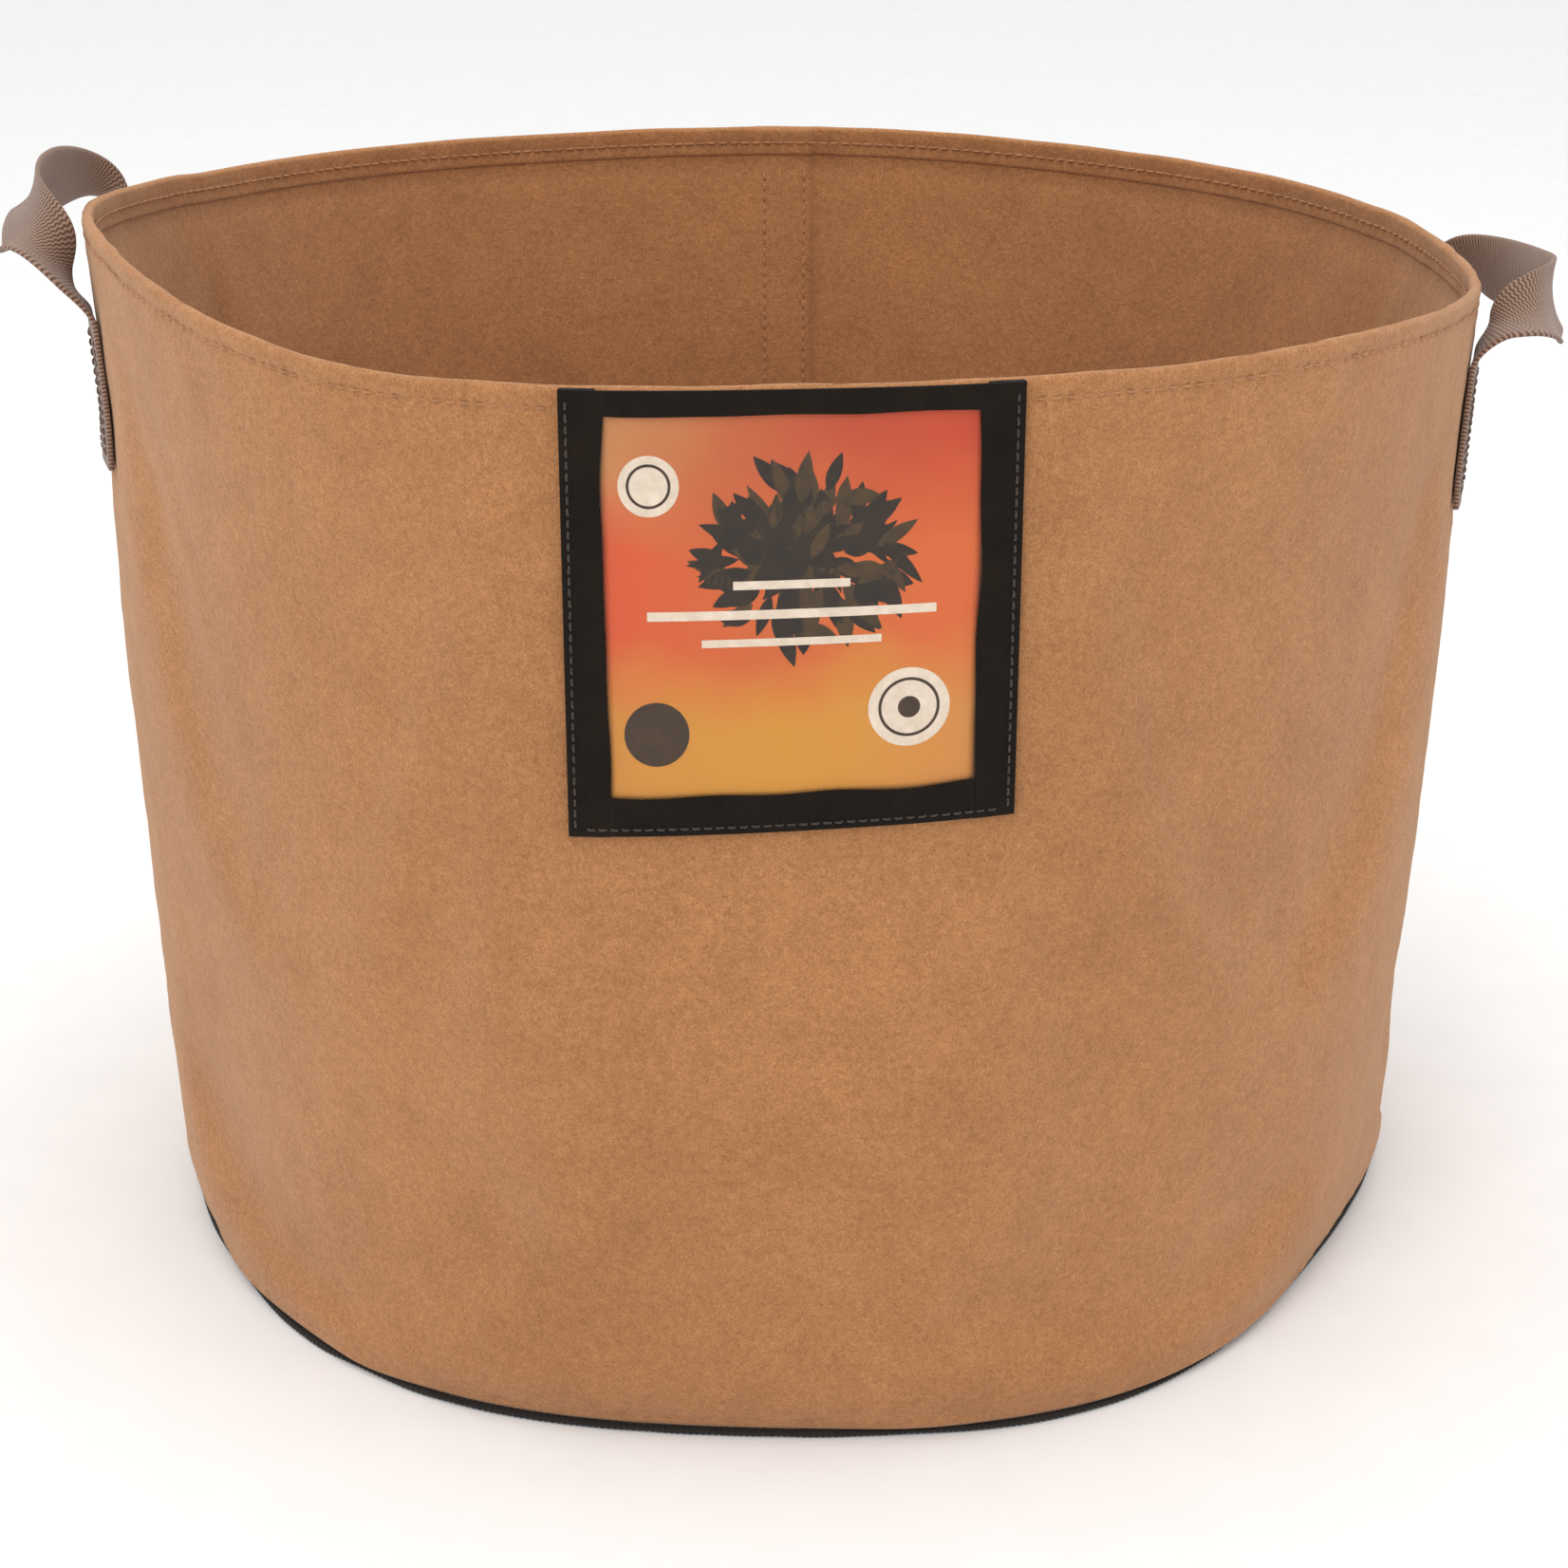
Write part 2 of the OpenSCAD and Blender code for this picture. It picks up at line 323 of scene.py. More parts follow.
def colour(*rgb):
    """Screen colour from 0 to 255 as a shader colour."""
    linear = [(c / 255 / 12.92) if c / 255 <= 0.04045 else ((c / 255 + 0.055) / 1.055) ** 2.4 for c in rgb]
    return (*linear, 1)


class Shader:
    """Short way to write a node material."""

    def __init__(self, name, **settings):
        self.material = bpy.data.materials.new(name)
        self.material.use_nodes = True
        self.tree = self.material.node_tree
        self.surface = self.tree.nodes["Principled BSDF"]
        for socket, value in settings.items():
            self.surface.inputs[socket.replace("_", " ")].default_value = value

    def node(self, kind, inputs=(), **settings):
        """New node. inputs maps its sockets to values or to other nodes' outputs."""
        made = self.tree.nodes.new("ShaderNode" + kind)
        for name, value in settings.items():
            setattr(made, name, value)
        for socket, value in dict(inputs).items():
            if isinstance(value, (tuple, float, int)):
                made.inputs[socket].default_value = value
            elif value is not None:
                self.tree.links.new(value, made.inputs[socket])
        return made

    def coordinates(self, kind="Object", scale=(1, 1, 1)):
        where = self.node("TexCoord").outputs[kind]
        return self.node("Mapping", {"Scale": scale, "Vector": where}).outputs["Vector"]

    def noise(self, where, scale, detail, roughness):
        inputs = {"Scale": scale, "Detail": detail, "Roughness": roughness, "Vector": where}
        return self.node("TexNoise", inputs).outputs["Fac"]

    def ramp(self, fac, *stops):
        """Colours at places from 0 to 1."""
        made = self.node("ValToRGB", {"Fac": fac})
        band = made.color_ramp
        while len(band.elements) < len(stops):
            band.elements.new(0.5)
        for element, (place_at, value) in zip(band.elements, stops):
            element.position = place_at
            element.color = value
        return made.outputs["Color"]

    def levels(self, fac, low, high, out_low=0.0, out_high=1.0):
        inputs = {"Value": fac, "From Min": low, "From Max": high, "To Min": out_low, "To Max": out_high}
        return self.node("MapRange", inputs).outputs["Result"]

    def mix(self, fac, a, b, blend="MIX"):
        """Mix of two colours, each an output or a fixed colour."""
        return self.node("Mix", {"Factor": fac, 6: a, 7: b}, data_type="RGBA", blend_type=blend).outputs[2]

    def maths(self, operation, a, b=None):
        return self.node("Math", {0: a, 1: b}, operation=operation).outputs["Value"]

    def surface_link(self, value, socket):
        self.tree.links.new(value, self.surface.inputs[socket])

    def bump(self, *layers):
        """Bumps stacked on each other; each layer is (height, distance in metres, strength)."""
        normal = None
        for height, distance, strength in layers:
            inputs = {"Distance": distance, "Strength": strength, "Height": height, "Normal": normal}
            normal = self.node("Bump", inputs).outputs["Normal"]
        self.surface_link(normal, "Normal")

    def shade(self, base, fac, dark, light, share=1.0, low=0.3):
        """Base colour, darkened where fac is low and lightened where it is high."""
        return self.mix(share, base, self.ramp(fac, (low, (*dark, 1)), (0.7, (*light, 1))), "MULTIPLY")

    def uv(self):
        """The UV map's two coordinates, along and across."""
        split = self.node("SeparateXYZ", {"Vector": self.coordinates("UV")})
        return split.outputs["X"], split.outputs["Y"]

    def wave(self, length, pitch, shift=None):
        """Sine that repeats at every pitch along a length."""
        turn = self.maths("MULTIPLY", length, 2 * math.pi / pitch)
        if shift is not None:
            turn = self.maths("ADD", turn, shift)
        return self.maths("SINE", turn)

    def paint(self, value):
        self.surface_link(value, "Base Color")

    def roughen(self, fac, low, high):
        self.surface_link(self.levels(fac, 0.3, 0.7, low, high), "Roughness")


def felt_material():
    """Needle-punched tan felt: matted fibres, small pits and faint mottling."""
    s = Shader("felt", Roughness=0.95, Sheen_Weight=0.35, Sheen_Roughness=0.45,
               Sheen_Tint=colour(255, 236, 214), Specular_IOR_Level=0.15)
    where = s.coordinates()
    fibres = s.noise(where, 1500, 5, 0.75)
    strands = s.noise(s.coordinates(scale=(1, 1, 0.28)), 1900, 3, 0.7)
    tufts = s.noise(where, 420, 4, 0.65)
    mottle = s.noise(where, 55, 4, 0.6)
    patches = s.noise(where, 9, 2, 0.5)
    base = s.ramp(fibres, (0.25, colour(128, 82, 50)), (0.5, colour(170, 118, 76)),
                  (0.78, colour(196, 148, 104)))
    base = s.shade(base, tufts, (0.80, 0.78, 0.76), (1.12, 1.13, 1.14), 0.8)
    base = s.shade(base, mottle, (0.93, 0.92, 0.91), (1.06, 1.06, 1.06))
    s.paint(s.shade(base, patches, (0.95, 0.945, 0.94), (1.04, 1.045, 1.05)))
    s.roughen(fibres, 0.88, 1.0)
    s.bump((mottle, 1.2 * MM, 0.35), (tufts, 0.8 * MM, 0.55), (strands, 0.35 * MM, 0.6),
           (fibres, 0.3 * MM, 0.7))
    return s.material


def webbing_material():
    """Woven webbing: fine ribs across its width, crossed by a lengthwise twill."""
    s = Shader("webbing", Roughness=0.8, Sheen_Weight=0.25, Sheen_Roughness=0.5, Specular_IOR_Level=0.25)
    along, across = s.uv()
    rib_pitch, twill_pitch = 1.3 * MM, 2.1 * MM
    rib = s.wave(along, rib_pitch)
    yarn = s.wave(along, rib_pitch, s.maths("MULTIPLY", s.wave(across, twill_pitch), 1.5))
    weave = s.maths("ADD", s.maths("MULTIPLY", rib, 0.35), s.maths("MULTIPLY", yarn, 0.65))
    height = s.levels(weave, -1, 1)
    where = s.coordinates()
    fuzz = s.noise(where, 1800, 4, 0.7)
    fade = s.noise(where, 40, 3, 0.6)
    # Base colour is darker where the weave is low: painted shade in the grooves between the yarns, over the
    # webbing's own tan.
    base = s.ramp(height, (0.1, colour(88, 65, 53)), (0.6, colour(136, 106, 89)),
                  (1.0, colour(160, 130, 112)))
    base = s.shade(base, fuzz, (0.8, 0.8, 0.8), (1.15, 1.15, 1.15), 0.7)
    s.paint(s.shade(base, fade, (0.94, 0.92, 0.9), (1.05, 1.06, 1.07)))
    s.roughen(fuzz, 0.7, 0.92)
    s.bump((height, 0.3 * MM, 0.8), (fuzz, 0.15 * MM, 0.5))
    return s.material


def thread_material(name, dark, light, sheen=0.2):
    """Twisted thread: fine slanted plies with a few loose fibres."""
    s = Shader(name, Roughness=0.75, Sheen_Weight=sheen, Specular_IOR_Level=0.3)
    where = s.coordinates()
    plies = s.noise(where, 2400, 3, 0.6)
    patches = s.noise(where, 130, 3, 0.6)
    base = s.ramp(plies, (0.3, dark), (0.7, light))
    s.paint(s.shade(base, patches, (0.8, 0.8, 0.8), (1.15, 1.15, 1.15)))
    s.roughen(plies, 0.62, 0.88)
    s.bump((plies, 0.2 * MM, 0.8))
    return s.material


def tape_material():
    """Black woven binding tape with a fine rib and a little lint."""
    s = Shader("tape", Roughness=0.8, Sheen_Weight=0.03, Specular_IOR_Level=0.12)
    along, across = s.uv()
    height = s.levels(s.maths("MULTIPLY", s.wave(along, 0.9 * MM), s.wave(across, 1.2 * MM)), -1, 1)
    where = s.coordinates()
    lint = s.noise(where, 900, 4, 0.75)
    fade = s.noise(where, 70, 3, 0.6)
    # Base colour is darker where the rib is low: painted shade in the grooves of the weave.
    base = s.ramp(height, (0.1, colour(14, 10, 7)), (0.9, colour(30, 23, 16)))
    base = s.shade(base, fade, (0.8, 0.8, 0.8), (1.4, 1.3, 1.2), low=0.35)
    flecks = s.levels(lint, 0.7, 0.78)
    s.paint(s.mix(flecks, base, colour(100, 80, 62)))
    s.roughen(lint, 0.7, 0.9)
    s.bump((height, 0.25 * MM, 0.8), (lint, 0.15 * MM, 0.4))
    return s.material


def vinyl_material():
    """Clear flexible vinyl with faint ripples and rub marks."""
    s = Shader("clear_vinyl", Base_Color=(0.5, 0.48, 0.46, 1), IOR=1.45, Alpha=0.028, Specular_IOR_Level=0.5)
    rubs = s.noise(s.coordinates(scale=(1, 1, 0.3)), 160, 5, 0.7)
    ripples = s.noise(s.coordinates(), 24, 2, 0.4)
    s.roughen(rubs, 0.08, 0.24)
    s.bump((ripples, 1.0 * MM, 0.35), (rubs, 0.05 * MM, 0.2))
    return s.material


def card_material():
    """Printed card: soft warm zones under a fine print grain."""
    s = Shader("card_print", Roughness=0.55, Specular_IOR_Level=0.12)
    across, up = s.uv()
    where = s.coordinates()
    drift = s.levels(s.noise(where, 30, 3, 0.5), 0.3, 0.7, -0.06, 0.06)
    column = s.maths("ADD", across, drift)
    top = s.ramp(column, (0.0, colour(190, 130, 78)), (0.3, colour(186, 96, 52)),
                 (0.62, colour(184, 70, 40)), (1.0, colour(190, 62, 30)))
    middle = s.ramp(column, (0.0, colour(206, 82, 42)), (0.5, colour(198, 96, 44)),
                    (1.0, colour(210, 98, 46)))
    bottom = s.ramp(column, (0.0, colour(198, 132, 54)), (0.5, colour(202, 138, 46)),
                    (1.0, colour(200, 130, 62)))
    height = s.maths("ADD", up, drift)
    base = s.mix(s.levels(height, 0.2, 0.42), bottom, middle)
    base = s.mix(s.levels(height, 0.62, 0.86), base, top)
    grain = s.noise(where, 2200, 2, 0.6)
    s.paint(s.shade(base, grain, (0.86, 0.86, 0.86), (1.08, 1.08, 1.08), 0.6))
    s.roughen(grain, 0.42, 0.6)
    s.bump((grain, 0.05 * MM, 0.3))
    return s.material


def ink_material(name, dark, light):
    """One printed colour with the unevenness of ink."""
    s = Shader(name, Roughness=0.55, Specular_IOR_Level=0.12)
    blots = s.noise(s.coordinates(), 260, 4, 0.65)
    s.paint(s.ramp(blots, (0.3, dark), (0.7, light)))
    s.roughen(blots, 0.42, 0.6)
    return s.material


def floor_material():
    s = Shader("floor", Roughness=0.9, Specular_IOR_Level=0.1)
    grain = s.noise(s.coordinates(), 40, 2, 0.5)
    s.paint(s.ramp(grain, (0.3, (0.86, 0.86, 0.86, 1)), (0.7, (0.88, 0.88, 0.88, 1))))
    return s.material


# ---------------------------------------------------------------- camera, light and floor

CAMERA_AT = (0, -1.1, 0.5586)
CAMERA_DOWN = 20.59  # degrees the camera looks down
CAMERA_LENS = 76.6  # for a sensor 36 mm wide
WORLD_LIGHT = 0.97
LIGHT_TARGET = (0, 0, 0.17)
# Each light: place, size, power and tint
LIGHTS = {"key": ((-0.7, -2.2, 2.2), 1.6, 22, (1, 0.97, 0.93)),
          "fill": ((1.9, -1.2, 1.3), 1.8, 3, (0.98, 0.98, 1)),
          "top": ((0, -0.2, 2.4), 2.0, 18, (1, 0.99, 0.97))}
FLOOR_HALF = 25
FLOOR_POINTS = 9


def make_camera():
    data = bpy.data.cameras.new("camera")
    camera = bpy.data.objects.new("camera", data)
    bpy.context.scene.collection.objects.link(camera)
    camera.location = CAMERA_AT
    camera.rotation_euler = (math.radians(90 - CAMERA_DOWN), 0, 0)
    data.sensor_width = 36
    data.lens = CAMERA_LENS
    data.clip_start = 0.02
    data.clip_end = 60
    bpy.context.scene.camera = camera


def make_light(name, location, size, power, tint):
    data = bpy.data.lights.new(name, "AREA")
    data.shape = "DISK"
    data.size = size
    data.energy = power
    data.color = tint
    light = bpy.data.objects.new(name, data)
    bpy.context.scene.collection.objects.link(light)
    light.location = location
    light.rotation_euler = (Vector(LIGHT_TARGET) - Vector(location)).to_track_quat("-Z", "Y").to_euler()


def make_studio():
    scene = bpy.context.scene
    scene.view_settings.view_transform = "Standard"
    world = bpy.data.worlds.new("studio")
    scene.world = world
    world.use_nodes = True
    background = world.node_tree.nodes["Background"]
    background.inputs["Color"].default_value = (1, 1, 1, 1)
    background.inputs["Strength"].default_value = WORLD_LIGHT
    for name, light in LIGHTS.items():
        make_light(name, *light)
    side = np.linspace(-FLOOR_HALF, FLOOR_HALF, FLOOR_POINTS)
    x, y = np.meshgrid(side, side)
    points = np.stack([x, y, np.zeros_like(x)], -1)
    make_mesh("floor", points, grid_faces(FLOOR_POINTS, FLOOR_POINTS), floor_material())


# ---------------------------------------------------------------- sewing

STITCH_SIDES = 7
STITCH_AT = np.array([-1, -0.93, -0.7, -0.3, 0.3, 0.7, 0.93, 1])  # places along a stitch
STITCH_THICK = np.array([0.35, 0.7, 0.95, 1, 1, 0.95, 0.7, 0.35])  # its thickness there, as a share
STITCH_LIFT = 0.3  # how far its middle stands up, in widths; its ends sink in by a width
STITCH_YAW = 0.05  # spread of its direction, in radians
STITCH_UNEVEN = 0.04  # spread of its length, as a share


def stitch_row(path, normals, pitch, length, width, seed):
    """Stitches along a line: short bowed threads whose ends sink into the cloth."""
    gaps = np.linalg.norm(np.diff(path, axis=0), axis=1)
    run = np.concatenate([[0], np.cumsum(gaps)])
    count = max(1, int(run[-1] / pitch))
    rng = np.random.default_rng(seed)
    at = (np.arange(count) + 0.5) * run[-1] / count

    def read(values, where):
        return np.stack([np.interp(where, run, values[:, k]) for k in range(3)], -1)

    middle = read(path, at)
    along = unit(read(path, at + 0.3 * MM) - read(path, at - 0.3 * MM))
    up = unit(read(normals, at))
    aside = unit(np.cross(up, along))
    yaw = rng.normal(0, STITCH_YAW, count)[:, None]
    along, aside = along * np.cos(yaw) + aside * np.sin(yaw), aside * np.cos(yaw) - along * np.sin(yaw)
    half = length / 2 * (1 + rng.normal(0, STITCH_UNEVEN, count))
    lift = width * (STITCH_LIFT - np.abs(STITCH_AT) ** 3)
    axis = middle[:, None] + along[:, None] * (half[:, None] * STITCH_AT)[..., None]
    axis = axis + up[:, None] * lift[:, None]
    turn = np.arange(STITCH_SIDES) * 2 * math.pi / STITCH_SIDES
    thick = width / 2 * STITCH_THICK[:, None]
    ring = (thick * np.cos(turn))[..., None] * aside[:, None, None]
    ring = ring + (thick * np.sin(turn))[..., None] * up[:, None, None]
    tube = tube_faces(len(STITCH_AT), STITCH_SIDES)
    return join_parts([(stitch, tube) for stitch in axis[:, :, None] + ring])


def wall_line(azimuths, heights, out):
    """Line on the wall, with its normals, ready for stitch_row."""
    return place(azimuths, heights, out), facing(azimuths, heights)


# ---------------------------------------------------------------- felt wall and base

RIM_STITCH_Z = 0.3338
BASE_STITCH_Z = 0.0072
BAG_STITCH = (4.4 * MM, 3.5 * MM)  # pitch and length of the rim's and the foot's stitches
SEAM_STITCH = (4.2 * MM, 3.4 * MM)  # the same for the back seam
RIM_THREAD = 0.8 * MM
FOOT_THREAD = 0.75 * MM
SEAM_THREAD = 0.85 * MM
SEAM_ASIDE = 8  # mm from the back seam's middle to each line of thread
LAP_HALF = LAP_W / 2 / MM
LAP_RAMP = 16  # mm over which the lap climbs over the felt below it
WALL_LOW = 0.0022
WALL_COLUMNS = 540
BASE_COLUMNS = 240
BASE_RINGS = 34
EDGE_COLUMNS = 2700
EDGE_SIDES = 14
EDGE_TURNS = 620  # slanted threads round the oversewn edge
# Where the felt bulges over the oversewn edge: share, azimuth and width
TUCKS = [(1.0, 50, 16), (0.85, -63, 8), (0.7, -41, 5), (0.5, 12, 6), (0.7, 150, 14), (0.6, -140, 12)]
# Lumps of the felt: size, and ripple's seed, ranges and count
LUMPS = [(0.16 * MM, 11, (20, 70), (60, 260), 22), (0.09 * MM, 12, (70, 170), (250, 800), 26)]


def lap_steps(azimuth):
    """How far the lapped seam moves the wall's outer and inner face out, as shares of the felt."""
    along = from_front(azimuth - 180) * MM_PER_DEGREE
    climb = smooth_step((along + LAP_HALF + LAP_RAMP) / LAP_RAMP)
    outer = climb * (1 - smooth_step((along - LAP_HALF + 0.7) / 0.7))
    inner = climb * (1 - smooth_step((along + LAP_HALF - 0.3) / 0.6))
    return outer, inner


def tucked(azimuth):
    """1 where the felt bulges over the oversewn edge and hides it, and 0 where the edge shows."""
    front = from_front(azimuth)
    total = sum(share * np.exp(-((front - middle) / width) ** 2) for share, middle, width in TUCKS)
    return np.clip(total, 0, 1)


def dimple(z, at, width):
    return np.exp(-((z - at) / width) ** 2)


def wall_profile():
    """Section of the wall from its foot, up over the folded rim and back down inside.
    Each point is (z, distance out, share of the outer face)."""
    hem_low = BAG_H - HEM_H
    outer_z = np.concatenate([np.linspace(WALL_LOW, 0.02, 15), np.linspace(0.024, 0.322, 52),
                              np.linspace(0.3235, 0.337, 18)])
    foot = -2.2 * MM * np.exp(-(outer_z - WALL_LOW) / 0.0022) + 1.0 * MM * dimple(outer_z, 0.012, 0.006)
    outer = [(z, out, 1.0) for z, out in zip(outer_z, foot)]
    turn = np.linspace(0, math.pi, 13)[1:-1]
    fold = [(BAG_H + FOLD_T * (math.sin(t) - 1), FOLD_T * (math.cos(t) - 1), 1 - t / math.pi) for t in turn]
    leaf = [(z, -FOLD_T - LEAF_T - (FOLD_T - LEAF_T) * smooth_step((z - hem_low) / HEM_H), 0.0)
            for z in np.linspace(BAG_H - FOLD_T, hem_low + 0.5 * MM, 9)]
    edge = [(hem_low, -FOLD_T - LEAF_T + 0.4 * MM, 0.0), (hem_low, -FOLD_T - 0.3 * MM, 0.0)]
    inner_z = np.concatenate([[hem_low - 0.5 * MM], np.linspace(0.322, 0.012, 46), [0.008, 0.005, WALL_LOW]])
    inner = [(z, -FELT_T + (FELT_T - FOLD_T) * smooth_step((z - 0.318) / 0.01), 0.0) for z in inner_z]
    return np.array(outer + fold + leaf + edge + inner)


def make_wall(material):
    edges = 180 + np.array([-1, 1])[:, None] * LAP_HALF / MM_PER_DEGREE + np.array([-0.15, -0.08, 0, 0.08])
    even = np.arange(WALL_COLUMNS) * 360 / WALL_COLUMNS
    azimuth = np.unique(np.concatenate([even, edges.ravel()]))
    z, out, share = wall_profile().T
    a, z = np.meshgrid(azimuth, z)
    out, share = out[:, None] + 0 * a, share[:, None] + 0 * a
    outside = share > 0.5
    outer_step, inner_step = lap_steps(a)
    out = out + FELT_T * (share * outer_step + (1 - share) * inner_step)
    out = out + 2.0 * MM * tucked(a) * share * dimple(z, 0.0035, 0.004)
    grooves = 0.55 * MM * dimple(z, RIM_STITCH_Z, 0.0013) + 0.5 * MM * dimple(z, BASE_STITCH_Z, 0.0016)
    pulled = 0.75 + 0.25 * np.cos(np.radians(a * 320))
    out = out - grooves * pulled * np.where(outside, 1, -0.6)
    lumps = sum(size * ripple(a, z, *pattern) for size, *pattern in LUMPS)
    out = out + lumps * np.where(outside, 1, -1) * np.where(z > 0.004, 1, 0)
    rim_wave = 0.14 * MM * ripple(a, z * 0, 13, (6, 36), (0, 1), 16) * smooth_step((z - 0.325) / 0.012)
    points = place(a, z, out) + rim_wave[..., None] * np.array([0, 0, 1])
    faces = grid_faces(*a.shape, wrap_rows=True, wrap_columns=True)
    wall = make_mesh("felt_wall", points, faces, material)
    add_piece(wall, "bag", ["wall_panel"])


def base_outline(azimuth):
    """Radius of the wall's outer face at the floor."""
    return np.linalg.norm(surface(azimuth, np.zeros_like(azimuth))[..., :2], axis=-1)


def make_base(material):
    azimuth = np.arange(BASE_COLUMNS) * 360 / BASE_COLUMNS
    turn = np.radians(azimuth)
    share = np.linspace(0.02, 1, BASE_RINGS)[:, None]
    r = share * (base_outline(azimuth) - FELT_T - 0.2 * MM)
    swell = 0.8 * MM * ripple(azimuth + 0 * r, 6 * share + 0 * r, 21, (1, 7), (1, 4))
    near_edge = smooth_step((share - 0.93) / 0.07)
    top = FELT_T + 0.5 * MM + (swell + 0.6 * MM) * (1 - near_edge) - 0.7 * MM * near_edge
    top = top * (1 - 0.35 * smooth_step((share - 0.985) / 0.015))
    low = 0.05 * MM + 0.35 * MM * near_edge + 0 * r
    above, below = (np.stack([r * np.sin(turn), -r * np.cos(turn), z], -1) for z in (top, low))
    points = np.concatenate([above, below[::-1]])
    base = make_mesh("felt_base", points, tube_faces(2 * BASE_RINGS, BASE_COLUMNS), material, flip=True)
    add_piece(base, "bag", ["base_panel"])


def make_base_edge_and_shadow_line(material):
    """Oversewn edge: a near-black ridge of slanted threads between wall and base, which also serves as
    painted shadow: the dark contact line along the foot.
    """
    azimuth = np.arange(EDGE_COLUMNS) * 360 / EDGE_COLUMNS
    turn = np.arange(EDGE_SIDES) * 2 * math.pi / EDGE_SIDES
    a, t = np.meshgrid(azimuth, turn)
    fullness = (1 + 0.2 * ripple(a, 0 * a, 31, (8, 60), (0, 1))) * (1 - 0.35 * tucked(a))
    thick = 1 + 0.13 * np.cos(np.radians(a * EDGE_TURNS) + 1.3 * np.sin(t))
    middle_r = (base_outline(azimuth) - (1.5 + 1.4 * tucked(azimuth)) * MM)[None]
    r = middle_r + 1.7 * MM * thick * np.cos(t) * (0.9 + 0.1 * fullness)
    z = 1.15 * MM + 0.98 * MM * thick * np.sin(t) * np.clip(fullness, 0.5, 1.15)
    around = np.radians(a)
    points = np.stack([r * np.sin(around), -r * np.cos(around), np.maximum(z, 0.05 * MM)], -1)
    faces = grid_faces(EDGE_SIDES, EDGE_COLUMNS, wrap_rows=True, wrap_columns=True)
    edge = make_mesh("base_edge", points, faces, material)
    add_piece(edge, "bag", ["base_edge_binding"])


def ring_rows(z, sunk, over_lap, front, width, seed):
    """Stitches round the outside of the bag: up to the lap, over it and on to the front again.
    front is how far, in degrees, the thread stays from the bag's front."""
    lap = LAP_HALF / MM_PER_DEGREE
    clear = lap + 2.2
    rows = []
    for start, end, out in ((front, 180 - clear, -sunk), (180 - lap, 180 + lap - 0.4, FELT_T - over_lap),
                            (180 + lap + 0.3, 360 - front, -sunk)):
        azimuth = np.arange(start, end, 0.25)
        line, outward = wall_line(azimuth, z + 0 * azimuth, out)
        rows.append(stitch_row(line, outward, *BAG_STITCH, width, seed + len(rows)))
    return rows


def make_bag_stitches(material):
    pocket_edge = POCKET_HALF / MM_PER_DEGREE + 0.4
    rim = ring_rows(RIM_STITCH_Z, 0.35 * MM, 0.35 * MM, pocket_edge, RIM_THREAD, 41)
    inside = np.arange(0, 360.2, 0.25)
    line, outward = wall_line(inside, RIM_STITCH_Z + 0 * inside, -2 * FOLD_T + 0.2 * MM)
    rim.append(stitch_row(line, -outward, *BAG_STITCH, RIM_THREAD, 44))
    piece = make_mesh("rim_stitches", *join_parts(rim), material)
    add_piece(piece, "bag", ["rim_hem_stitching"])

    foot = ring_rows(BASE_STITCH_Z, 0.25 * MM, 0.3 * MM, 0.2, FOOT_THREAD, 45)
    piece = make_mesh("base_stitches", *join_parts(foot), material)
    add_piece(piece, "bag", ["base_seam_stitching"])

    seam = []
    height = np.arange(0.0125, 0.3235, 0.001)
    for k, side in enumerate((-1, 1)):
        azimuth = 180 + side * SEAM_ASIDE / MM_PER_DEGREE + 0 * height
        for face, seed in ((1, 50 + k), (-1, 52 + k)):
            line, outward = wall_line(azimuth, height, face * (FELT_T + 0.02 * MM))
            seam.append(stitch_row(line, face * outward, *SEAM_STITCH, SEAM_THREAD, seed))
    piece = make_mesh("side_seam_stitches", *join_parts(seam), material)
    add_piece(piece, "bag", ["side_seam_stitching"])


# ---------------------------------------------------------------- handles

# shift: how far a handle is sewn above (+) or below (-) its mean place.
# rise, reach, tilt: height, distance out and lean in degrees of the loop's top.
# bow: how far the webbing's edges curl in. skew, droop: how far the loop leans back and sags forward.
# bend_x: two distances from the bag's middle.
LOOPS = {"left": {"side": -1, "rise": 0.0345, "reach": 0.018, "tilt": 56, "shift": 0.007, "bow": 0.0035,
                  "skew": -0.001, "droop": 0.001, "bend_x": (0.0, 0.0)},
         "right": {"side": 1, "rise": 0.0015, "reach": 0.0235, "tilt": 78, "shift": -0.006, "bow": 0.003,
                   "skew": -0.006, "droop": 0.003, "bend_x": (0.221, 0.229)}}
LOOP_TURNS = np.linspace(4, 176, 90)
TAB_ROWS = 20
BOX_INSET = 4 * MM  # from the webbing's edge to the sewn box
BOX_STITCH = (3.1 * MM, 2.7 * MM, 0.6 * MM)  # pitch, length and thread


def foot_radius(loop):
    """Radius of a loop's feet, clear of the wall behind both of them."""
    azimuth = loop["side"] * (90 + np.array([-1, 1])[:, None] * TAB_SPREAD + np.linspace(-5, 5, 11))
    z = LOOP_Z + loop["shift"] - waves(azimuth, RIM_RISE)
    return np.linalg.norm(surface(azimuth, z)[..., :2], axis=-1).max() + FOOT_OUT


def loop_middle(t, loop):
    """Middle line of a loop on the +X side: 0 is its front foot, 90 its top and 180 its rear foot."""
    turn = np.radians(t)
    foot_z = LOOP_Z + loop["shift"]
    foot_turn = math.radians(90 - TAB_SPREAD)
    foot_x, foot_y = loop["foot_r"] * math.sin(foot_turn), -loop["foot_r"] * math.cos(foot_turn)
    x = foot_x + (RIM_R + loop["reach"] - foot_x) * np.sin(turn)
    y = foot_y * np.cos(turn) + loop["skew"] * np.sin(turn) ** 2
    z = foot_z + (HINGE_Z + loop["rise"] - foot_z) * np.sin(turn) + loop["droop"] * np.sin(2 * turn)
    return np.stack([x, y, z], -1)


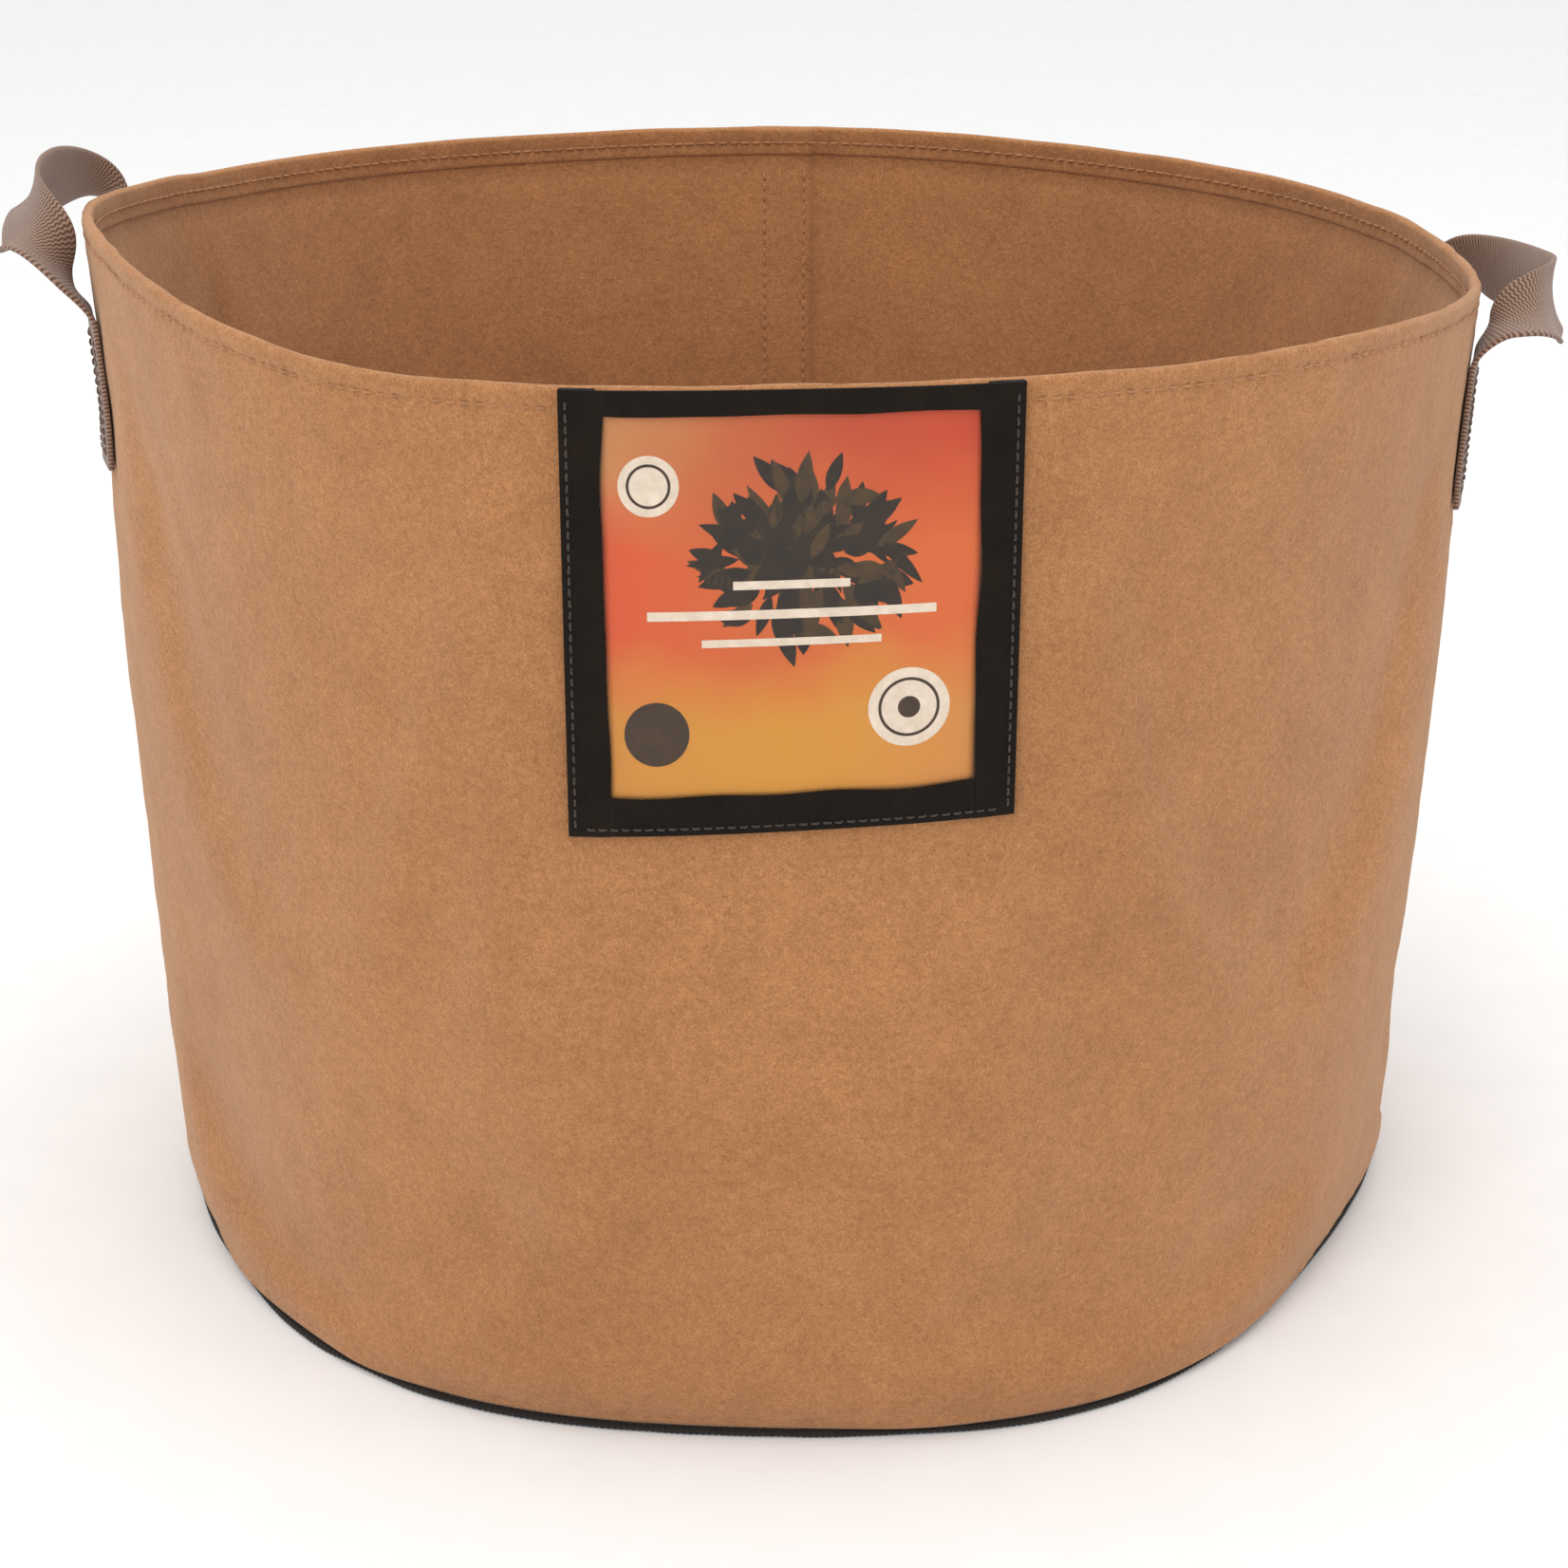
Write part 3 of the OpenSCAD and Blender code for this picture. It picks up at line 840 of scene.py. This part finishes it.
def loop_frames(t, loop):
    """Middle, across and outward directions along a loop."""
    middle = loop_middle(t, loop)
    along = unit(loop_middle(t + 0.5, loop) - loop_middle(t - 0.5, loop))
    turn, spread, lean = np.radians(t), math.radians(TAB_SPREAD), math.radians(loop["tilt"])
    way = np.stack([math.sin(spread) * np.abs(np.cos(turn)) - math.cos(lean) * np.sin(turn) ** 2,
                    math.cos(spread) * np.cos(turn), math.sin(lean) * np.sin(turn)], -1)
    across = unit(way - np.sum(way * along, -1, keepdims=True) * along)
    return middle, across, unit(np.cross(across, along))


def strap_section():
    """Section of the webbing: (across, out) pairs round a flat band with rounded edges."""
    half_w, half_t = STRAP_W / 2, STRAP_T / 2
    flat = np.linspace(-half_w + half_t, half_w - half_t, 11)
    turn = np.linspace(-math.pi / 2, math.pi / 2, 6)[1:-1]
    edge = np.stack([half_w - half_t + half_t * np.cos(turn), half_t * np.sin(turn)], -1)
    under = np.stack([flat, -half_t + 0 * flat], -1)
    over = np.stack([flat[::-1], half_t + 0 * flat], -1)
    return np.concatenate([under, edge, over, edge[::-1] * [-1, 1]])


def ring_on_wall(front, z_world, loop, section):
    """The webbing's section where it lies on the wall. front is -1 at the front tab and 1 at the rear."""
    side = loop["side"]
    across = section[:, 0] / MM / MM_PER_DEGREE
    azimuth = side * (90 + front * TAB_SPREAD) - side * front * across
    z = z_world - waves(azimuth, RIM_RISE)
    return place(azimuth, z, STRAP_T / 2 + TAB_LIFT + section[:, 1])


def ring_in_air(t, loop, section):
    """The webbing's section at a turn of its free loop."""
    middle, across, outward = loop_frames(np.array(float(t)), loop)
    curl = loop["bow"] * math.sin(math.radians(t)) ** 2
    share = 2 * section[:, :1] / STRAP_W
    narrow = 1 - 8 / 3 * (curl / STRAP_W) ** 2
    points = middle + section[:, :1] * narrow * across
    points = points + (section[:, 1:] + curl * (0.33 - share ** 2)) * outward
    return points * [loop["side"], 1, 1]


def bridge(before, last, foot, ahead):
    """Rings of a smooth bend from a tab's last two rings to a loop's first two."""
    pull = np.linalg.norm(foot - last, axis=-1).mean()
    leave = unit(last - before) * pull
    arrive = unit(ahead - foot) * pull
    return [last * (2 * s ** 3 - 3 * s ** 2 + 1) + leave * (s ** 3 - 2 * s ** 2 + s)
            + foot * (3 * s ** 2 - 2 * s ** 3) + arrive * (s ** 3 - s ** 2)
            for s in np.linspace(0, 1, 10)[1:-1]]


def strap_rings(loop, section):
    """Rings of a whole strap: front tab, bend, free loop, bend and rear tab."""
    heights = np.linspace(TAB_LOW, TAB_TOP, TAB_ROWS) + loop["shift"]
    air = [ring_in_air(t, loop, section) for t in LOOP_TURNS]
    ends = []
    for front, foot, ahead in ((-1, air[0], air[1]), (1, air[-1], air[-2])):
        tab = [ring_on_wall(front, z, loop, section) for z in heights]
        ends.append(tab + bridge(tab[-2], tab[-1], foot, ahead))
    points = np.array(ends[0] + air + ends[1][::-1])
    seed = 60 + loop["side"]
    sag = 0.35 * MM * ripple(np.linspace(0, 360, len(points)), np.zeros(len(points)), seed, (2, 9), (0, 1))
    free = smooth_step((points[..., 2].mean(1) - heights[-1]) / 0.02)
    return points + (sag * free)[:, None, None] * np.array([loop["side"], 0, 0])


def make_strap(name, loop, material):
    side, shift = loop["side"], loop["shift"]
    section = strap_section()
    points = strap_rings(loop, section)
    steps = np.linalg.norm(np.diff(points.mean(1), axis=0), axis=1)
    run = np.concatenate([[0], np.cumsum(steps)])
    uv = np.stack(np.meshgrid(run, section[:, 0], indexing="ij"), -1)
    strap = make_mesh(name + "_strap", points, tube_faces(*points.shape[:2]), material, uv, flip=side > 0)
    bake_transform(strap)
    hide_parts(name + "_handle_front_tab", name + "_handle_rear_tab", name + "_handle_loop")


def make_strap_stitches(name, loop, material):
    """A sewn box with a cross in it on each tab."""
    half = (STRAP_W / 2 - BOX_INSET) / MM / MM_PER_DEGREE
    low, top = TAB_LOW + loop["shift"] + BOX_INSET, TAB_TOP + loop["shift"] - BOX_INSET
    corners = [(-half, low), (half, low), (half, top), (-half, top)]
    lines = [(0, 1), (1, 2), (2, 3), (3, 0), (0, 2), (1, 3)]
    s = np.linspace(0, 1, 60)
    rows = []
    for k, front in enumerate((-1, 1)):
        for n, (start, end) in enumerate(lines):
            p, q = corners[start], corners[end]
            azimuth = loop["side"] * (90 + front * TAB_SPREAD) + p[0] + (q[0] - p[0]) * s
            height = p[1] + (q[1] - p[1]) * s - waves(azimuth, RIM_RISE)
            crossing = 0.3 * MM if n == 5 else 0.0
            line, outward = wall_line(azimuth, height, STRAP_T + TAB_LIFT + crossing)
            rows.append(stitch_row(line, outward, *BOX_STITCH, 70 + 10 * k + n))
    stitches = make_mesh(name + "_strap_stitches", *join_parts(rows), material)
    add_piece(stitches, "bag", [name + "_handle_stitching"])


def make_handle(name, webbing, thread):
    loop = dict(LOOPS[name])
    loop["foot_r"] = foot_radius(loop)
    make_strap(name, loop, webbing)
    make_strap_stitches(name, loop, thread)


# ---------------------------------------------------------------- pocket

POCKET_TURN = 0.55  # azimuth of the pocket's middle
POCKET_DROP = 3.6 * MM  # how far the pocket's bottom hangs below its mean place
POCKET_SKEW = 2.3 * MM  # and how much more on its left, less on its right
POCKET_WIDEN = 1.012  # share by which the pocket spans more of the wall than at its mean radius
POCKET_FLARE = 0.045  # and by how much more at its bottom, where the wall is narrower
CARD_FLARE = 0.018  # the same for the card, which has to pass the tape as it slides up
CLEAR_HALF = POCKET_HALF - SIDE_TAPE - 0.05  # half the width between the side tapes
WINDOW_TUCK = 4  # mm from the tape's folded edge to the window's edge
SLOT = 0.04  # mm between the window and the tape on each side of it
TAPE_BEND = 0.38  # mm, radius of the tape's folds and edges
POCKET_STITCH = (3.3 * MM, 2.7 * MM, 0.7 * MM)  # pitch, length and thread
STITCH_INSET = 2.2  # mm from the tape's outer edge


def on_pocket(s, z, out, flare=POCKET_FLARE):
    """Place on the pocket's part of the wall: s in mm from its middle, z the height on an even pocket."""
    lower = np.clip((BAG_H - z) / (BAG_H - POCKET_Z), 0, 1)
    drop = (POCKET_DROP - POCKET_SKEW * s / POCKET_HALF) * lower
    widen = POCKET_WIDEN + flare * lower
    return place(POCKET_TURN + widen * s / MM_PER_DEGREE, z - drop, out)


def rounded(corners, radius, steps=3):
    """Closed outline with its corners rounded."""
    outline = []
    count = len(corners)
    for i, corner in enumerate(corners):
        corner = np.array(corner, float)
        before, after = np.array(corners[i - 1], float), np.array(corners[(i + 1) % count], float)
        a = corner + unit(before - corner) * min(radius, np.linalg.norm(before - corner) / 2.2)
        b = corner + unit(after - corner) * min(radius, np.linalg.norm(after - corner) / 2.2)
        outline += [a * (1 - t) ** 2 + corner * 2 * t * (1 - t) + b * t * t for t in np.linspace(0, 1, steps)]
    return outline


def dense(outline, longest=1.2):
    """Outline with extra points on its long stretches."""
    made = []
    for i, p in enumerate(outline):
        q = outline[(i + 1) % len(outline)]
        parts = max(1, int(np.ceil(np.linalg.norm(np.subtract(q, p)) / longest)))
        made += [np.add(p, np.subtract(q, p) * k / parts) for k in range(parts)]
    return np.array(made)


def folded_tape(width, shorter):
    """Section of tape folded round the window's edge, in mm from its outer edge and out from the wall.
    Its back leaf is shorter than its front leaf by the given length."""
    front, back = TAPE_OUT / MM, 0.1
    over, under = WINDOW_OUT / MM + SLOT, WINDOW_IN / MM - SLOT
    corners = [(0, back), (0, front), (width, front), (width, over), (WINDOW_TUCK, over),
               (WINDOW_TUCK, under), (width - shorter, under), (width - shorter, back)]
    return dense(rounded(corners, TAPE_BEND))


def make_tape(edge, section, start, end, rows, aim, seed, material, flip, wobble=0.5):
    """One edge's tape, swept along the wall. section has (side in mm, out in mm) pairs, and aim turns
    (run along the tape, side) into (mm from the pocket's middle, height)."""
    side, run = np.meshgrid(section[:, 0], np.linspace(start, end, rows))
    worn = side / section[:, 0].max()
    side = side + wobble * worn * ripple(run / MM, 0 * run, seed, (2, 12), (0, 1), 8)
    across, z = aim(run, side)
    points = on_pocket(across, z, section[:, 1] * MM + 0 * side)
    uv = np.stack([run, side * MM], -1)
    tape = make_mesh("pocket_tape_" + edge, points, tube_faces(*points.shape[:2]), material, uv, flip)
    add_piece(tape, "bag", ["pocket_binding_" + edge])
    return tape


def make_binding(material):
    top = BAG_H - 0.1 * MM
    section = folded_tape(SIDE_TAPE, 2.4)
    for name, side in (("left", -1), ("right", 1)):
        piece = make_tape(name, section, POCKET_Z, top, 70,
                          lambda r, s, side=side: (side * (POCKET_HALF - s), r),
                          80 + side, material, side > 0)
    half = CLEAR_HALF * MM
    piece = make_tape("bottom", folded_tape(BOTTOM_TAPE / MM, 2.8), -half, half, 60,
                      lambda r, s: (r / MM, POCKET_Z + s * MM), 83, material, True)
    width, front, back = MOUTH_TAPE / MM, TAPE_OUT / MM, WINDOW_IN / MM
    leaf = [(0, back), (0, front), (width, front), (width, 1.86), (2.7, 1.86), (2.7, back)]
    piece = make_tape("mouth", dense(rounded(leaf, 0.3)), -half, half, 60,
                      lambda r, s: (r / MM, top - s * MM), 84, material, False, 0.25)


def make_window(material):
    edge = POCKET_HALF - WINDOW_TUCK
    s, z = np.meshgrid(np.linspace(-edge, edge, 70), np.linspace(POCKET_Z + 4 * MM, BAG_H - FELT_T, 76))
    inside = (smooth_step((CLEAR_HALF - 1 - np.abs(s)) / 14)
              * smooth_step((z - POCKET_Z - BOTTOM_TAPE - 1 * MM) / 0.014)
              * smooth_step((BAG_H - MOUTH_TAPE - 1 * MM - z) / 0.012))
    swell = inside * 0.45 * MM * (1 + ripple(s * 2.4, z, 85, (1, 7), (10, 60), 8) * 0.5)
    sheets = [on_pocket(s, z, out + np.maximum(swell, 0)) for out in (WINDOW_OUT, WINDOW_IN)]
    window = make_mesh("pocket_window_sheet", np.concatenate(sheets), plate_faces(*s.shape), material)
    add_piece(window, "bag", ["pocket_window"])


def make_pocket_stitches(material):
    low = POCKET_Z + STITCH_INSET * MM
    side = POCKET_HALF - STITCH_INSET
    up = np.arange(low, BAG_H - 2 * MM, 0.001)
    along = np.linspace(-(POCKET_HALF - 5), POCKET_HALF - 5, 120)
    lines = [(-side + 0 * up, up), (side + 0 * up, up), (along, low + 0 * along)]
    rows = [stitch_row(on_pocket(s, z, TAPE_OUT + 0.05 * MM), facing(s / MM_PER_DEGREE, z), *POCKET_STITCH,
                       90 + k) for k, (s, z) in enumerate(lines)]
    piece = make_mesh("pocket_stitches", *join_parts(rows), material)
    add_piece(piece, "bag", ["pocket_stitching"])


# ---------------------------------------------------------------- card

CARD_HALF = POCKET_HALF - SIDE_TAPE + 1.3  # mm
CARD_LOW = POCKET_Z + BOTTOM_TAPE - 1.5 * MM
CARD_TOP = BAG_H - MOUTH_TAPE / 2
CARD_IN = 0.55 * MM
CARD_OUT = 0.95 * MM
PRINT_IN = CARD_OUT - 0.05 * MM  # every printed patch begins inside the card
PRINT_LOW = CARD_OUT + 0.08 * MM
PRINT_TOP = CARD_OUT + 0.1 * MM  # and the upper prints lie over the lower ones
DISC_SIDES = 40
LEAVES = 150
LEAF_LAYERS = 9
DARK_SHARE = 0.72
# Bands: left and right end, height on the card, and width in mm. Discs: place on the card, radius in mm,
# distance out and the hole's share of the radius.
BANDS = [(0.345, 0.655, 0.549, 2.4), (0.115, 0.885, 0.475, 2.6), (0.26, 0.74, 0.404, 2.2)]
PALE_DISCS = [(0.126, 0.797, 8.5, PRINT_LOW, 0.01), (0.818, 0.22, 11.7, PRINT_LOW, 0.01)]
DARK_DISCS = [(0.134, 0.174, 9.4, PRINT_LOW, 0.01), (0.126, 0.797, 6.2, PRINT_TOP, 0.87),
              (0.818, 0.22, 8.8, PRINT_TOP, 0.9), (0.818, 0.22, 3.2, PRINT_TOP, 0.01)]


def on_card(u, v):
    """Place on the card, both from 0 to 1, as (mm from the middle, height)."""
    return (2 * u - 1) * CARD_HALF, CARD_LOW + (CARD_TOP - CARD_LOW) * v


def solid_patch(s, z, inner, outer):
    """Thin closed plate on the wall over a grid of (mm from the middle, height)."""
    plates = [on_pocket(s, z, out, CARD_FLARE) for out in (outer, inner)]
    return np.concatenate(plates), plate_faces(*s.shape)


def leaf_patch(u, v, length, width, turn, layer):
    """One plain pointed leaf on the card. length and width are in mm."""
    along = np.linspace(-1, 1, 9)
    half = width / 2 * (1 - np.abs(along) ** 2.2) * (1 - 0.25 * along) + 0.02
    share = np.linspace(-1, 1, 3)[:, None]
    x = along * length / 2 + 0 * share
    y = share * half
    middle_s, middle_z = on_card(u, v)
    s = middle_s + x * math.cos(turn) - y * math.sin(turn)
    z = middle_z + (x * math.sin(turn) + y * math.cos(turn)) * MM
    return solid_patch(s, z, PRINT_IN, CARD_OUT + (0.02 + 0.006 * layer) * MM)


def disc_patch(u, v, radius, out, hole):
    """Round patch, or a ring when the hole is large."""
    share = np.linspace(hole, 1, 4)[:, None]
    turn = np.arange(DISC_SIDES) * 2 * math.pi / DISC_SIDES
    middle_s, middle_z = on_card(u, v)
    s = middle_s + radius * share * np.cos(turn)
    z = middle_z + radius * share * np.sin(turn) * MM
    front, back = (on_pocket(s, z, depth, CARD_FLARE) for depth in (out, PRINT_IN))
    rings = np.concatenate([front, back[::-1]])
    faces = grid_faces(len(rings), DISC_SIDES, wrap_rows=True, wrap_columns=True)
    return rings, [face[::-1] for face in faces]


def band_patch(u0, u1, v, width):
    s0, middle_z = on_card(u0, v)
    s1, _ = on_card(u1, v)
    s, z = np.meshgrid(np.linspace(s0, s1, 24), middle_z + np.linspace(-width / 2, width / 2, 3) * MM)
    return solid_patch(s, z, PRINT_IN, PRINT_TOP)


def make_card_sheet(material):
    u, v = np.meshgrid(np.linspace(0, 1, 50), np.linspace(0, 1, 52))
    points, faces = solid_patch(*on_card(u, v), CARD_IN, CARD_OUT)
    uv = np.concatenate([np.stack([u, v], -1)] * 2)
    card = make_mesh("label_card_sheet", points, faces, material, uv)
    add_piece(card, "card", ["label_card"])


def make_print(name, parts, ink):
    add_piece(make_mesh(name, *join_parts(parts), ink, smooth=False), "card")


def make_leaves():
    """A made-up cluster of leaves in two inks."""
    rng = np.random.default_rng(7)
    dark, light = [], []
    for k in range(LEAVES):
        turn = rng.uniform(0, 2 * math.pi)
        reach = rng.uniform(0, 1) ** 0.6
        u, v = 0.535 + 0.27 * reach * math.cos(turn), 0.62 + 0.22 * reach * math.sin(turn)
        points_to = turn + rng.normal(0, 0.5)
        leaf = leaf_patch(u, v, rng.uniform(9, 17), rng.uniform(3.2, 5.5), points_to, k % LEAF_LAYERS)
        (dark if rng.uniform() < DARK_SHARE else light).append(leaf)
    make_print("card_leaves_dark", dark, ink_material("ink_dark_leaf", colour(22, 14, 8), colour(44, 30, 16)))
    make_print("card_leaves_light", light, ink_material("ink_leaf", colour(48, 36, 18), colour(78, 56, 26)))


def make_card():
    make_card_sheet(card_material())
    make_leaves()
    cream = ink_material("ink_cream", colour(206, 188, 168), colour(226, 210, 192))
    brown = ink_material("ink_brown", colour(46, 32, 20), colour(70, 48, 30))
    make_print("card_bands", [band_patch(*band) for band in BANDS], cream)
    make_print("card_pale_discs", [disc_patch(*disc) for disc in PALE_DISCS], cream)
    make_print("card_dark_disc", [disc_patch(*disc) for disc in DARK_DISCS], brown)


# ---------------------------------------------------------------- build

make_camera()
make_studio()
settled_grid = settle_wall()
felt = felt_material()
felt_thread = thread_material("felt_thread", colour(140, 94, 60), colour(186, 134, 90))
webbing = webbing_material()
webbing_thread = thread_material("webbing_thread", colour(70, 54, 44), colour(118, 96, 82))
tape_thread = thread_material("tape_thread", colour(34, 28, 23), colour(74, 62, 52))
# Near-black thread of the base edge, which also serves as painted contact shadow along the foot.
edge_thread = thread_material("edge_thread", colour(14, 12, 11), colour(44, 38, 34), 0.1)
make_wall(felt)
make_base(felt)
make_base_edge_and_shadow_line(edge_thread)
make_bag_stitches(felt_thread)
for handle in LOOPS:
    make_handle(handle, webbing, webbing_thread)
make_binding(tape_material())
make_window(vinyl_material())
make_pocket_stitches(tape_thread)
make_card()
